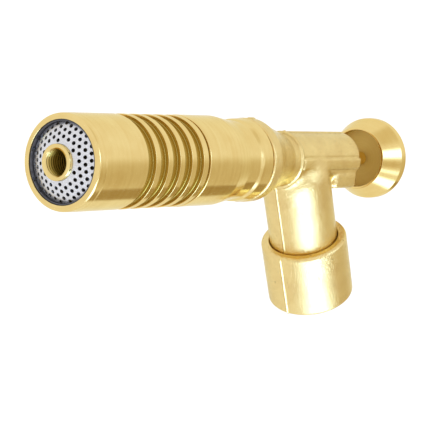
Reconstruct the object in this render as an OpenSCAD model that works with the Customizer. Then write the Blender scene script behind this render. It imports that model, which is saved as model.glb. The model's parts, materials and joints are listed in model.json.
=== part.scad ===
// Single-fuel lampwork torch: a grooved brass burner head on a mixing tube, a cast valve body
// and a socket that screws onto the neck of a fuel gas cylinder.
// Origin: centre of the socket mouth. +Z runs up the stem, the flame leaves towards +X,
// and the whole torch is symmetric about Y = 0 apart from its screw threads.

/* [Layout] */
// Height of the torch axis above the socket mouth, measured on the stem axis
axis_height = 56.7; // [55:0.1:60]
// Distance along the torch axis from the stem axis to the flame rim
reach = 124.4; // [122:0.1:128]
// Rise of the torch axis above horizontal, in degrees
rise = 27.8; // [25:0.1:30]

/* [Burner head] */
// Outside diameter of the burner barrel
barrel_d = 29; // [28.6:0.1:30]
// Length of the burner barrel
barrel_len = 53.5; // [53:0.1:55]
// Bore of the front recess that holds the flame plate
recess_d = 25; // [24.8:0.1:25.2]
// Bore of the barrel behind the recess
barrel_bore_d = 23.2; // [23:0.1:23.4]
// Number of cooling grooves
groove_count = 5; // [3:1:5]
// Distance from the flame rim to the first groove
groove_start = 22.8; // [20:0.1:23]
// Distance from one groove to the next
groove_pitch = 6.05; // [5.5:0.05:6.1]
// Width of a groove
groove_w = 3.7; // [3:0.1:4]
// Depth of a groove
groove_depth = 1.25; // [0.8:0.05:1.4]

/* [Flame plate] */
// Radius of the domed flame plate's front face
dome_r = 22.7; // [21:0.1:26]
// Distance between neighbouring flame holes
hole_pitch = 2.15; // [2.1:0.05:2.6]
// Diameter of one flame hole
hole_d = 1.2; // [0.8:0.05:1.25]
// Outside diameter of the centre tube
tube_d = 10.8; // [10.4:0.1:11]
// Bore of the centre tube
tube_bore_d = 7.8; // [7.6:0.1:8.8]

/* [Mixing tube and air collar] */
// Outside diameter of the mixing tube under the air collar
mixing_d = 26.4; // [26.2:0.1:26.6]
// Outside diameter of the air collar
collar_d = 29.2; // [29:0.1:30]
// How far the air collar slides back to open the air ports
collar_travel = 6; // [3:0.5:6]
// Number of air ports
port_count = 6; // [4:1:8]
// Diameter of one air port
port_d = 5; // [4:0.1:5]

/* [Valve body] */
// Outside diameter of the flange that the mixing tube screws onto
flange_d = 28.2; // [27.8:0.1:28.6]
// Outside diameter of the horizontal valve body
body_d = 19.1; // [19:0.1:20]
// Outside diameter of the stem
stem_d = 24.4; // [24:0.1:25]
// Outside diameter of the inlet socket
socket_d = 31; // [30.5:0.1:32]
// Height of the inlet socket
socket_h = 24.4; // [23:0.1:25]
// Core diameter of the inlet thread, 1 inch with 20 threads per inch
inlet_d = 24.2; // [24:0.1:24.4]
// Length of the inlet thread
inlet_thread = 9.5; // [9:0.5:11]
// Depth of the socket, from its mouth to the face that the gasket lies on
inlet_depth = 16; // [15:0.5:17]

/* [Knob] */
// Diameter of the knob's rear rim
knob_d = 30.2; // [29:0.1:32]
// Diameter of the knob's front lip
knob_lip_d = 22.8; // [21:0.1:23]
// Thickness of the rod between the valve and the knob
rod_d = 5; // [4.8:0.1:5.2]

/* [Hidden] */

brass = "#E3C878";
dark_brass = "#C9A455";
steel = "#C9CBD3";
rubber = "#2A2A2C";
fibre = "#8C4A36";
white_seal = "#E8E6DE";

fit_gap = 0.05;          // radial gap of a screwed or pressed joint within the torch
slide_gap = 0.08;        // radial gap of a sliding or turning fit
round_fn = 96;
rim_x = reach * cos(rise);
rim_z = axis_height + reach * sin(rise);

// Distances behind the flame rim, along the torch axis
shoulder_s = 8;          // step that the gauze rests on
support_s = 17;          // front of the tube support
venturi_s = 24;          // front of the venturi
spigot_s = 46;           // front of the mixing tube's spigot, behind the venturi
port_s = barrel_len + 3.5;
collar_s = barrel_len + 0.85;
collar_len = 23.45;
spring_s = 70;
ramp_s = 84.2;           // behind the end of the collar's travel
bead_s = 89.4;
mixing_end_s = 91;
flange_s = 91.5;
flange_len = 4.3;
taper_s = 102;           // where the flange's rounded shoulder turns into the plain taper
neck_s = 111.5;
cast_ring_s = 116;       // cast ring between the neck and the valve body
body_end_s = 155;
knob_s = 168.2;
knob_floor_s = 171.3;
knob_rim_s = 176.3;
knob_end_s = 179.6;

// Distances behind the flame rim inside the valve body, from the stem axis at s = reach
seat_s = reach - 10;
chamber_s = reach - 4;
gland_s = reach + 20;

// Radii inside the valve body
holder_r = 5;
seat_r = 3.95;
spindle_r = 4;
gland_r = 6;
probe_r = 4.5;

// Height of the foot of the stem inside the socket
seat_z = inlet_depth + 2;

// Points on an arc, from angle a0 to a1, as [radius, distance] pairs
function arc(cr, cs, r, a0, a1, n = 6) =
    [for (i = [0 : n]) let (a = a0 + (a1 - a0) * i / n) [cr + r * cos(a), cs + r * sin(a)]];

// Moves a shape drawn at the flame rim, with +Z towards the flame, to its place on the torch axis
module on_torch_axis() translate([rim_x, 0, rim_z]) rotate([0, 90 - rise, 0]) children();

// Turned shape from [radius, distance behind the rim] pairs
module turned(profile) rotate_extrude($fn = round_fn) polygon([for (p = profile) [p[0], -p[1]]]);

// Plain rod or hole between two distances behind the rim
module rod(r, s0, s1) translate([0, 0, -s1]) cylinder(r = r, h = s1 - s0, $fn = round_fn);

// Washer or plain tube between two distances behind the rim
module tube(r_out, r_in, s0, s1) difference() {
    rod(r_out, s0, s1);
    rod(r_in, s0 - 1, s1 + 1);
}

// Hexagonal prism between two distances behind the rim
module hex(across_flats, s0, s1)
    translate([0, 0, -s1]) cylinder(d = across_flats / cos(30), h = s1 - s0, $fn = 6);

module burner_barrel() {
    r = barrel_d / 2;
    lip = 0.7;
    color(brass) on_torch_axis() difference() {
        turned(concat(
            [[barrel_bore_d / 2, shoulder_s], [recess_d / 2, shoulder_s], [recess_d / 2, 0.3]],
            [[recess_d / 2 + 0.3, 0], [r - lip - 0.2, 0]],
            arc(r - lip - 0.2, lip, lip, -90, -20),
            [[r, 3], [r, barrel_len - 0.2], [r - 0.2, barrel_len], [barrel_bore_d / 2, barrel_len]]
        ));
        for (i = [0 : groove_count - 1]) {
            s = groove_start + i * groove_pitch;
            difference() {
                rod(r + 1, s, s + groove_w);
                rod(r - groove_depth, s - 1, s + groove_w + 1);
            }
        }
    }
}

// Domed stainless plate: a spherical shell in a plain rim, drilled square to its surface
module flame_plate() {
    edge_r = recess_d / 2 - fit_gap;
    sheet = 0.7;
    edge_s = 2;
    rim_s = 0.45;
    rim_wall = 0.4;
    skirt_end_s = 6;
    open_r = edge_r - rim_wall;
    centre_s = edge_s + sqrt(dome_r * dome_r - edge_r * edge_r);
    rings = ceil(edge_r / hole_pitch / 0.866) + 2;
    outer_rho = dome_r * asin(open_r / dome_r) * PI / 180 - hole_d * 0.6;
    inner_rho = tube_d / 2 + hole_d * 0.55;
    color(steel) on_torch_axis() difference() {
        union() {
            intersection() {
                difference() {
                    translate([0, 0, -centre_s]) sphere(r = dome_r, $fn = round_fn);
                    translate([0, 0, -centre_s]) sphere(r = dome_r - sheet, $fn = round_fn);
                }
                rod(edge_r, -dome_r, edge_s + 0.5);
            }
            tube(edge_r, open_r, rim_s, skirt_end_s);
        }
        rod(tube_d / 2 + fit_gap, -dome_r, skirt_end_s);
        for (i = [-rings : rings]) for (j = [-rings : rings]) {
            x = hole_pitch * (i + j / 2);
            y = hole_pitch * j * sqrt(3) / 2;
            rho = sqrt(x * x + y * y);
            if (rho > inner_rho && rho < outer_rho)
                translate([0, 0, -centre_s]) rotate([0, 0, atan2(y, x) + 13])
                    rotate([0, rho / dome_r * 180 / PI, 0]) translate([0, 0, dome_r - 2])
                        cylinder(d = hole_d, h = 3, $fn = 16);
        }
    }
}

// Spacer between the plate's skirt and the gauze
module plate_ring() color(dark_brass) on_torch_axis()
    tube(recess_d / 2 - fit_gap, recess_d / 2 - 1.4, 6, shoulder_s - 0.5);

module flashback_gauze() color(steel) on_torch_axis()
    tube(recess_d / 2 - fit_gap, tube_d / 2 + fit_gap, shoulder_s - 0.5, shoulder_s);

// Threaded tube that feeds the centre of the flame
module centre_tube() {
    r = tube_d / 2;
    bore = tube_bore_d / 2;
    front_s = -2.3;
    end_s = support_s + 6.2;
    color(brass) on_torch_axis() turned([
        [bore, end_s], [bore, front_s + 0.5], [bore + 0.35, front_s], [r - 0.35, front_s],
        [r, front_s + 0.35], [r, end_s]
    ]);
}

// Spoked disc that carries the centre tube and lets the gas past
module tube_support() {
    ports = 6;
    color(dark_brass) on_torch_axis() difference() {
        tube(barrel_bore_d / 2 - fit_gap, tube_d / 2 + fit_gap, support_s, support_s + 3);
        for (i = [0 : ports - 1]) rotate([0, 0, i * 360 / ports]) translate([8.5, 0, 0])
            rod(2.1, support_s - 1, support_s + 4);
    }
}

module tube_locknut() color(dark_brass) on_torch_axis() difference() {
    hex(14.5, support_s + 3, support_s + 5.8);
    rod(tube_d / 2 + fit_gap, support_s, support_s + 8);
}

// Bell mouth, throat and long diverging cone
module venturi() {
    r = barrel_bore_d / 2 - fit_gap;
    throat_r = 4.2;
    color(dark_brass) on_torch_axis() turned(concat(
        [[r, venturi_s], [r, spigot_s], [9.2, spigot_s]],
        arc(9.2, spigot_s - 5, 5, 90, 180),
        [[throat_r, spigot_s - 9], [8.6, venturi_s]]
    ));
}

// Tube with a screwed spigot at each end of its run, ringed with air ports under the collar
module mixing_tube() {
    r = mixing_d / 2;
    bore = 11;
    bead_r = flange_d / 2 + 0.05;
    stop_r = r + 0.75;      // step that the collar rests against
    color(brass) on_torch_axis() difference() {
        turned([
            [barrel_bore_d / 2 - fit_gap, spigot_s + 0.05], [barrel_bore_d / 2 - fit_gap, barrel_len + 0.05],
            [stop_r, barrel_len + 0.05], [stop_r, barrel_len + 0.75], [r, barrel_len + 0.75],
            [r, ramp_s], [r + 0.35, ramp_s + 1.6],
            [bead_r - 0.15, bead_s - 0.5], [bead_r, bead_s], [bead_r, mixing_end_s - 0.3],
            [bead_r - 0.3, mixing_end_s], [bore, mixing_end_s], [bore, barrel_len + 0.6],
            [bore - 1, barrel_len], [bore - 1, spigot_s + 0.05]
        ]);
        for (i = [0 : port_count - 1]) rotate([0, 0, (i + 0.5) * 360 / port_count])
            translate([0, 0, -port_s]) rotate([0, 90, 0]) cylinder(d = port_d, h = r + 2, $fn = 48);
        tube(r + 1, r - 0.85, spring_s - 0.5, spring_s + 0.5);
    }
}

// Open wire ring that rubs inside the collar and holds it where it is put
module collar_spring_ring() {
    wire_r = 0.4;
    color(steel) on_torch_axis() translate([0, 0, -spring_s]) rotate([0, 0, 10])
        rotate_extrude(angle = 340, $fn = round_fn)
            translate([mixing_d / 2 - wire_r + 0.04, 0]) circle(r = wire_r, $fn = 24);
}

// Sleeve that slides along the mixing tube over its air ports
module air_collar() {
    r = collar_d / 2;
    bore = mixing_d / 2 + slide_gap;
    end_s = collar_s + collar_len;
    curve_len = 6.6;
    curve_drop = 0.85;
    color(brass) on_torch_axis() turned(concat(
        [[bore, collar_s], [r - 0.3, collar_s], [r, collar_s + 0.3]],
        [for (i = [0 : 6]) let (u = i / 6) [r - curve_drop * u * u, end_s - curve_len * (1 - u)]],
        [[bore, end_s]]
    ));
}

// Outside of the casting along the torch axis: flange, rounded shoulder, taper, neck, ring and the
// barrel of the valve
module casting_barrel() {
    flange_r = flange_d / 2;
    body_r = body_d / 2;
    spigot_r = 10.95;
    neck_r = body_r - 0.2;
    shoulder = [
        [flange_r, flange_s + flange_len], [flange_r - 0.9, taper_s - 3.6], [flange_r - 2.1, taper_s]
    ];
    turned(concat(
        [[0, flange_s - 8], [spigot_r, flange_s - 8], [spigot_r, flange_s]],
        arc(flange_r - 0.6, flange_s + 0.6, 0.6, -90, 0, 3),
        [for (i = [0 : 6]) let (u = i / 6)
            (1 - u) * (1 - u) * shoulder[0] + 2 * u * (1 - u) * shoulder[1] + u * u * shoulder[2]],
        [[neck_r, neck_s], [neck_r, cast_ring_s - 0.6], [body_r + 0.35, cast_ring_s - 0.3]],
        [[body_r + 0.35, cast_ring_s + 0.3], [body_r, cast_ring_s + 0.6]],
        [[body_r, body_end_s - 0.8], [body_r - 0.8, body_end_s], [0, body_end_s]]
    ));
}

// Square pad under the back of the valve barrel
module casting_pad() {
    half = body_d / 2 - 0.25;
    top = 3.5;
    round_r = 1.6;
    pad_s = 140.5;
    corner = half - round_r;
    translate([0, 0, 0.4 - body_end_s]) linear_extrude(body_end_s - 0.4 - pad_s) polygon(concat(
        [[top, -half]],
        arc(corner, -corner, round_r, -90, 0),
        arc(corner, corner, round_r, 0, 90),
        [[top, half]]
    ));
}

// Stem, drawn on the Z axis: straight, then rounding in under the valve
module casting_stem() {
    stem_r = stem_d / 2;
    crown_r = 7;                    // how strongly the stem rounds in
    crown_z = axis_height - 7;      // where it starts to round in
    crown_top_z = axis_height + 1.3;
    rotate_extrude($fn = round_fn) polygon(concat(
        [[0, seat_z], [stem_r - 0.3, seat_z], [stem_r, seat_z + 0.3]],
        [for (i = [0 : 6]) let (a = i * 10)
            [stem_r - crown_r * (1 - cos(a)), crown_z + (crown_top_z - crown_z) * sin(a) / sin(60)]],
        [[0, crown_top_z]]
    ));
}

module valve_body() {
    gas_r = 2.5;
    color(brass) difference() {
        union() {
            on_torch_axis() {
                casting_barrel();
                casting_pad();
            }
            casting_stem();
        }
        translate([0, 0, inlet_depth - 1]) cylinder(r = probe_r, h = 11, $fn = round_fn);
        translate([0, 0, inlet_depth]) cylinder(r = gas_r, h = axis_height - inlet_depth, $fn = round_fn);
        on_torch_axis() {
            rod(holder_r, flange_s - 9, seat_s - 6);
            rod(1.8, flange_s, reach);
            rod(seat_r, seat_s, chamber_s + 0.5);
            rod(spindle_r + slide_gap, chamber_s, gland_s + 0.5);
            rod(gland_r, gland_s, body_end_s + 1);
        }
    }
}

// Cup brazed to the foot of the stem, with the cylinder's thread inside and a raised lip on top
module inlet_socket() {
    r = socket_d / 2;
    thread_r = inlet_d / 2;
    relief_r = thread_r + 0.45;
    seat = stem_d / 2 + fit_gap;
    base_r = 1.6;
    top_r = 2.4;
    color(brass) rotate_extrude($fn = round_fn) polygon(concat(
        [[thread_r + 0.5, 0], [r - base_r, 0]],
        arc(r - base_r, base_r, base_r, -90, 0),
        arc(r - top_r, socket_h - top_r, top_r, 0, 80),
        [[seat + 0.7, socket_h], [seat, socket_h - 1], [seat, seat_z], [probe_r, seat_z]],
        [[probe_r, inlet_depth], [relief_r, inlet_depth], [relief_r, inlet_thread]],
        [[thread_r, inlet_thread], [thread_r, 0.5]]
    ));
}

// Long nozzle carrier that brings the gas from the valve to the air ports
module jet_holder() {
    tip_s = port_s + 5;
    back_s = seat_s - 6;
    color(dark_brass) on_torch_axis() difference() {
        union() {
            rod(holder_r - fit_gap, tip_s, back_s - 1);
            hex(12.5, flange_s - 13, flange_s - 8);
        }
        rod(2.6, tip_s - 1, back_s + 1);
        rod(3.1, tip_s - 1, tip_s + 7);
    }
}

module jet_washer() color(fibre) on_torch_axis()
    tube(4.6, 2.6, seat_s - 7, seat_s - 6);

// Nozzle with a fine drilled orifice
module gas_jet() {
    tip_s = port_s + 5;
    color(brass) on_torch_axis() turned([
        [0.35, tip_s - 2.5], [1.6, tip_s - 2.5], [3.6, tip_s - 0.1], [3.05, tip_s - 0.1], [3.05, tip_s + 6.8],
        [1.4, tip_s + 6.8], [1.4, tip_s], [0.35, tip_s - 1.2]
    ]);
}

// Sintered plug that keeps grit out of the orifice
module jet_filter() color(dark_brass) on_torch_axis()
    rod(2.55, port_s + 13, port_s + 19);

module valve_seat() color(white_seal) on_torch_axis() turned([
    [1.36, seat_s], [seat_r - fit_gap, seat_s], [seat_r - fit_gap, chamber_s], [2.7, chamber_s],
    [1.36, chamber_s - 2.2]
]);

// Floating tip: it moves with the spindle but doesn't turn against the seat
module needle() {
    back_s = reach + 3.6;
    color(steel) on_torch_axis() turned([
        [0, seat_s + 2.5], [0.8, seat_s + 2.5], [2.4, seat_s + 7], [2.4, back_s], [1.6, back_s],
        [1.6, back_s - 2.6], [0, back_s - 2.6]
    ]);
}

// Threaded valve spindle with a plain rod out through the gland to the knob
module spindle() {
    r = rod_d / 2;
    color(brass) on_torch_axis() difference() {
        turned([
            [0, reach + 1.3], [1.52, reach + 1.3], [1.52, reach + 4.4], [spindle_r - 0.6, reach + 4.4],
            [spindle_r, reach + 5], [spindle_r, gland_s - 3.4], [spindle_r - 0.5, gland_s - 3],
            [r, gland_s - 3], [r, knob_floor_s - 0.1], [1.95, knob_floor_s - 0.1], [1.95, knob_end_s - 1.3],
            [0, knob_end_s - 1.3]
        ]);
        rod(1.1, knob_end_s - 9.6, knob_end_s);
    }
}

module packing_washer() color(dark_brass) on_torch_axis()
    tube(gland_r - fit_gap, rod_d / 2 + slide_gap, gland_s, gland_s + 1);

module packing_ring() color(white_seal) on_torch_axis()
    tube(gland_r - fit_gap, rod_d / 2 + slide_gap, gland_s + 1, gland_s + 4.5);

module gland_follower() color(dark_brass) on_torch_axis()
    tube(gland_r - fit_gap, rod_d / 2 + slide_gap, gland_s + 4.5, gland_s + 6.5);

// Slotted nut, set just inside the back of the valve body
module gland_nut() color(dark_brass) on_torch_axis() difference() {
    tube(gland_r - fit_gap, rod_d / 2 + slide_gap, gland_s + 6.5, body_end_s - 0.2);
    translate([0, 0, -body_end_s]) cube([20, 1.4, 3.6], center = true);
}

// Flared cup, open towards the valve body
module knob() {
    rim_r = knob_d / 2;
    lip_r = knob_lip_d / 2;
    wall = 0.8;
    color(brass) on_torch_axis() turned([
        [lip_r - wall, knob_s + 0.15], [lip_r - 0.15, knob_s], [lip_r, knob_s + 0.15],
        [rim_r - 0.35, knob_rim_s - 0.4], [rim_r, knob_rim_s], [rim_r, knob_end_s - 0.4],
        [rim_r - 0.4, knob_end_s], [rim_r - 3, knob_end_s], [rim_r - 4, knob_end_s - 0.8],
        [2.02, knob_end_s - 0.8], [2.02, knob_floor_s], [lip_r - wall, knob_floor_s]
    ]);
}

module knob_washer() color(steel) on_torch_axis()
    tube(4, 1.3, knob_end_s - 0.8, knob_end_s);

// Round-headed screw with a straight slot
module knob_screw() color(steel) on_torch_axis() difference() {
    union() {
        rod(1.05, knob_end_s - 8.6, knob_end_s);
        turned(concat([[0, knob_end_s], [3.1, knob_end_s]], arc(1.9, knob_end_s + 0.6, 1.2, 0, 90, 5),
            [[0, knob_end_s + 1.8]]));
    }
    translate([0, 0, -knob_end_s - 1.9]) cube([10, 0.8, 1.6], center = true);
}

// Nipple that presses the cylinder's valve open
module inlet_probe() color(brass) {
    base = inlet_depth;
    tip = inlet_thread + 0.3;
    rotate_extrude($fn = round_fn) polygon([
        [1.4, tip], [2.2, tip], [2.6, tip + 0.4], [2.6, base - 4.2], [2, base - 4.2], [2, base - 2.6],
        [2.6, base - 2.6], [2.6, base - 1.8], [6.4, base - 1.8], [6.4, base], [4.45, base],
        [4.45, base + 8], [3, base + 8], [3, base + 5], [1.4, base + 5]
    ]);
}

module probe_seal() color(rubber) translate([0, 0, inlet_depth - 3.4])
    rotate_extrude($fn = round_fn) translate([2.78, 0]) circle(r = 0.75, $fn = 24);

module inlet_filter() color(dark_brass) translate([0, 0, inlet_depth + 5.1])
    cylinder(r = 2.9, h = 2.6, $fn = round_fn);

module socket_gasket() color(rubber) translate([0, 0, inlet_depth - 1.6]) difference() {
    cylinder(d = inlet_d + 0.6, h = 1.5, $fn = round_fn);
    translate([0, 0, -1]) cylinder(r = 7.2, h = 4, $fn = round_fn);
}

burner_barrel();
flame_plate();
plate_ring();
flashback_gauze();
centre_tube();
tube_support();
tube_locknut();
venturi();
mixing_tube();
collar_spring_ring();
air_collar();
valve_body();
inlet_socket();
jet_holder();
jet_washer();
gas_jet();
jet_filter();
valve_seat();
needle();
spindle();
packing_washer();
packing_ring();
gland_follower();
gland_nut();
knob();
knob_washer();
knob_screw();
inlet_probe();
probe_seal();
inlet_filter();
socket_gasket();
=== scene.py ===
import json
import math
import bpy
import bmesh
import numpy as np
from mathutils import Matrix, Vector


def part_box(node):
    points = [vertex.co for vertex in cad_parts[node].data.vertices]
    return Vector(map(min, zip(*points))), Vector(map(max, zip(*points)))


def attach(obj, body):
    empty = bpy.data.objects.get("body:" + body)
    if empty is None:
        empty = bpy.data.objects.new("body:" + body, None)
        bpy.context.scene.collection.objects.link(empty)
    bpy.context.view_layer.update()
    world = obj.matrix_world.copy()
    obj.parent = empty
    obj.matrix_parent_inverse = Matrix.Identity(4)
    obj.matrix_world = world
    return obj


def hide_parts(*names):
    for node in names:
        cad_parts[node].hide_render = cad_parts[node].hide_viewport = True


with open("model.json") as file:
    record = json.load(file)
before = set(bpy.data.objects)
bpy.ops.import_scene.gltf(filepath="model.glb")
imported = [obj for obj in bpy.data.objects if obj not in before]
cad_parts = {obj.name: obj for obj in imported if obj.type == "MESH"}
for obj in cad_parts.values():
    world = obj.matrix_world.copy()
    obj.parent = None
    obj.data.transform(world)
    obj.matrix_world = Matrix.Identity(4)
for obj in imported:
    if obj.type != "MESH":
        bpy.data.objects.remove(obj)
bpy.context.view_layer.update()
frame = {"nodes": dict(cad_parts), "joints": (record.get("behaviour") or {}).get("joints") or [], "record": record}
record = frame["record"]
nodes = frame["nodes"]
mm = 0.001  # shapes are worked out in millimetres and stored in metres
bodyOf = {name: body for body, names in record["behaviour"]["bodies"].items() for name in names}
slotOf = {part["node"]: part["material_slot"] for part in record["subparts"]}

# The torch axis: s is the distance in mm behind the flame rim, along that axis
turnJoint = next(joint for joint in frame["joints"] if joint["name"] == "knob_turn")
flameDir = -np.array(turnJoint["axis"], float)
flameDir /= np.linalg.norm(flameDir)
crossing = np.array(turnJoint["pos_m"], float) / mm
sideDir = np.array([0.0, 1.0, 0.0])
riseDir = np.cross(flameDir, sideDir)
upDir = riseDir if riseDir[2] > 0 else -riseDir
stemDir = np.array([0.0, 0.0, 1.0])
frontDir = np.array([1.0, 0.0, 0.0])


def nodePoints(name):  # all corners of a CAD node, in mm
    mesh = nodes[name].data
    flat = np.zeros(len(mesh.vertices) * 3)
    mesh.vertices.foreach_get("co", flat)
    return flat.reshape(-1, 3) / mm


reach = ((nodePoints("burner_barrel") - crossing) @ flameDir).max()
rimCentre = crossing + flameDir * reach
torchAxis = (rimCentre, flameDir, upDir)        # start, direction and up for pieces turned on the torch axis
stemAxis = (np.zeros(3), -stemDir, frontDir)    # the same for the stem, whose distances are heights
print(f"frame loaded, rim {reach:.1f} mm ahead of the stem")


# Outline with rounded corners: each corner (radius, distance, rounding) gives way to an arc that touches both
# of its edges, and an edge over 0.7 mm gets extra points, the first and last 0.12 mm from its ends, so that the
# shading stays flat between them
outlineLook = {"longEdge": 0.7, "inset": 0.12, "straight": 1.55}


def softOutline(corners, arcSteps=4, stride=2.0):
    count = len(corners)
    points = []
    for i in range(count):
        here = np.array(corners[i][:2], float)
        rounding = corners[i][2] if len(corners[i]) > 2 else 0
        back = np.array(corners[i - 1][:2]) - here
        ahead = np.array(corners[(i + 1) % count][:2]) - here
        lengths = np.linalg.norm(back), np.linalg.norm(ahead)
        back, ahead = back / lengths[0], ahead / lengths[1]
        half = 0.5 * math.acos(float(np.clip(back @ ahead, -1, 1)))
        if rounding <= 0 or half > outlineLook["straight"]:  # sharp, or too straight to round
            points.append(here)
            continue
        cut = min(rounding / math.tan(half), 0.45 * min(lengths))
        radius = cut * math.tan(half)
        centre = here + (back + ahead) / np.linalg.norm(back + ahead) * radius / math.sin(half)
        first, last = (here + back * cut - centre) / radius, (here + ahead * cut - centre) / radius
        sweep = math.pi - 2 * half
        for t in np.linspace(0, 1, arcSteps + 1):
            turned = first * math.sin((1 - t) * sweep) + last * math.sin(t * sweep)
            points.append(centre + radius * turned / math.sin(sweep))
    filled = []
    for i, start in enumerate(points):
        step = points[(i + 1) % len(points)] - start
        length = np.linalg.norm(step)
        filled.append(start)
        if length > outlineLook["longEdge"]:
            inset = outlineLook["inset"]
            inner = np.linspace(inset, length - inset, max(2, int(length / stride) + 2)) / length
            filled.extend(start + step * t for t in inner)
    return np.array(filled)


# Angles once round, closer together near the moulding line at 0 and 180 degrees when fine is true
def roundAngles(segments, fine=False):
    angles = np.linspace(0, 2 * math.pi, segments, endpoint=False)
    if fine:
        near = np.radians(np.arange(-6, 6.1, 0.5))
        angles = np.concatenate([angles, near % (2 * math.pi), near + math.pi])
    return np.unique(angles.round(6))


# Mesh from a grid of points that closes on itself both ways, with a UV map: u runs to 100 once round, and v is
# the distance along the outline in mm
def closedGrid(name, points, along, paintedShade):
    rows, columns = points.shape[:2]
    i, j = np.meshgrid(np.arange(rows), np.arange(columns), indexing="ij")
    nextRow, nextColumn = (i + 1) % rows, (j + 1) % columns
    faces = np.stack([i * columns + j, i * columns + nextColumn, nextRow * columns + nextColumn,
                      nextRow * columns + j], -1).reshape(-1, 4)
    co = points.reshape(-1, 3)
    a, b, c, d = (co[faces[:, k]] for k in range(4))
    volume = np.einsum("ij,ij->i", a, np.cross(b, c) + np.cross(c, d)).sum()
    u = np.stack([j, j + 1, j + 1, j], -1) / columns * 100.0
    v = np.stack([along[i], along[i], along[i + 1], along[i + 1]], -1)
    uv = np.stack([u, v], -1).reshape(-1, 4, 2)
    if volume < 0:
        faces, uv = faces[:, ::-1], uv[:, ::-1]
    mesh = bpy.data.meshes.new(name)
    mesh.vertices.add(len(co))
    mesh.vertices.foreach_set("co", (co * mm).ravel())
    mesh.loops.add(faces.size)
    mesh.loops.foreach_set("vertex_index", faces.ravel())
    mesh.polygons.add(len(faces))
    mesh.polygons.foreach_set("loop_start", np.arange(0, faces.size, 4))
    mesh.update(calc_edges=True)
    mesh.uv_layers.new(name="turning").data.foreach_set("uv", uv.ravel())
    # each outline point's painted shade is stored on the mesh as an attribute
    mesh.attributes.new("paintedShade", "FLOAT", "POINT").data.foreach_set("value", np.repeat(paintedShade, columns))
    return finished(name, mesh)


def shadeSmooth(mesh):  # smooth shading, with crisp edges kept where the surface folds by over 50 degrees
    mesh.validate()
    mesh.polygons.foreach_set("use_smooth", np.ones(len(mesh.polygons), bool))
    mesh.set_sharp_from_angle(angle=math.radians(50))


def finished(name, mesh):  # object at the origin
    shadeSmooth(mesh)
    piece = bpy.data.objects.new(name, mesh)
    bpy.context.scene.collection.objects.link(piece)
    return piece


# Turned shape: every outline point (radius, distance) is carried once round the axis, so a point is
# start - axis * distance + radius * (side * sin + up * cos). Shift adds to the radius by angle and distance.
def turnedPiece(name, outline, start, axis, up, segments=192, shift=None, paintedShade=None, fine=False):
    angles = roundAngles(segments, fine)
    radius = np.repeat(outline[:, :1], len(angles), 1)
    distance = np.repeat(outline[:, 1:], len(angles), 1)
    side = np.cross(axis, up)
    side *= 1 if side @ sideDir >= 0 else -1
    spoke = side * np.sin(angles)[:, None] + up * np.cos(angles)[:, None]
    if shift is not None:
        radius = radius + shift(angles[None, :], radius, distance)
    points = start - axis * distance[..., None] + radius[..., None] * spoke[None]
    steps = np.linalg.norm(np.roll(outline, -1, 0) - outline, axis=1)
    along = np.concatenate([[0], np.cumsum(steps)])
    return closedGrid(name, points, along, np.zeros(len(outline)) if paintedShade is None else paintedShade)


def threadedWall(bore, first, last, pitch):  # outline points up a threaded bore, ten to each turn
    rows = np.arange(first, last, -pitch / 10)
    return np.stack([np.full(len(rows), bore), rows], 1)


# Thread: the bore grows by depth * (1 - cos(2 pi (distance / pitch + angle / turn))) / 2, so its crest is a helix.
# It fades in and out over 0.3 mm at its ends.
def innerThread(pitch, depth, bore, first, last):
    fadeLength = 0.3

    def shift(angle, radius, distance):
        wave = 0.5 - 0.5 * np.cos(2 * math.pi * distance / pitch + angle)
        fade = np.clip((distance - first) / fadeLength, 0, 1) * np.clip((last - distance) / fadeLength, 0, 1)
        return np.where(np.abs(radius - bore) < 0.02, depth * wave * fade, 0)
    return shift


# Solid cutter: the same turning for an outline that starts and ends on the axis, with its poles welded
def boreCutter(outline, start, axis, up):
    piece = turnedPiece("cutter", np.array(outline, float), start, axis, up, 96)
    work = bmesh.new()
    work.from_mesh(piece.data)
    bmesh.ops.remove_doubles(work, verts=work.verts, dist=1e-7)
    bmesh.ops.dissolve_degenerate(work, edges=work.edges, dist=1e-8)
    bmesh.ops.recalc_face_normals(work, faces=work.faces)
    work.to_mesh(piece.data)
    work.free()
    return piece


def cutAway(piece, cutters):  # Boolean difference, applied, so that the bores have crisp mouths
    for cutter in cutters:
        tool = piece.modifiers.new("bore", "BOOLEAN")
        tool.operation, tool.solver, tool.object = "DIFFERENCE", "EXACT", cutter
    mesh = bpy.data.meshes.new_from_object(piece.evaluated_get(bpy.context.evaluated_depsgraph_get()))
    piece.modifiers.clear()
    piece.data = mesh
    for cutter in cutters:
        bpy.data.objects.remove(cutter)
    shadeSmooth(mesh)


# Signed distance from points to a closed outline in the (radius, distance) plane: the nearest edge gives the
# size and an even-odd count of crossed edges gives the sign
def outlineDistance(points, outline):
    nearest = np.full(len(points), 1e9)
    inside = np.zeros(len(points), bool)
    for start, end in zip(outline, np.roll(outline, -1, 0)):
        edge = end - start
        length = edge @ edge
        if length < 1e-12:
            continue
        t = np.clip(((points - start) @ edge) / length, 0, 1)
        away = points - start - t[:, None] * edge
        nearest = np.minimum(nearest, (away ** 2).sum(1))
        if abs(edge[1]) > 1e-12:
            crosses = (start[1] > points[:, 1]) != (end[1] > points[:, 1])
            inside ^= crosses & (points[:, 0] < start[0] + (points[:, 1] - start[1]) / edge[1] * edge[0])
    return np.where(inside, -1, 1) * np.sqrt(nearest)


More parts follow.
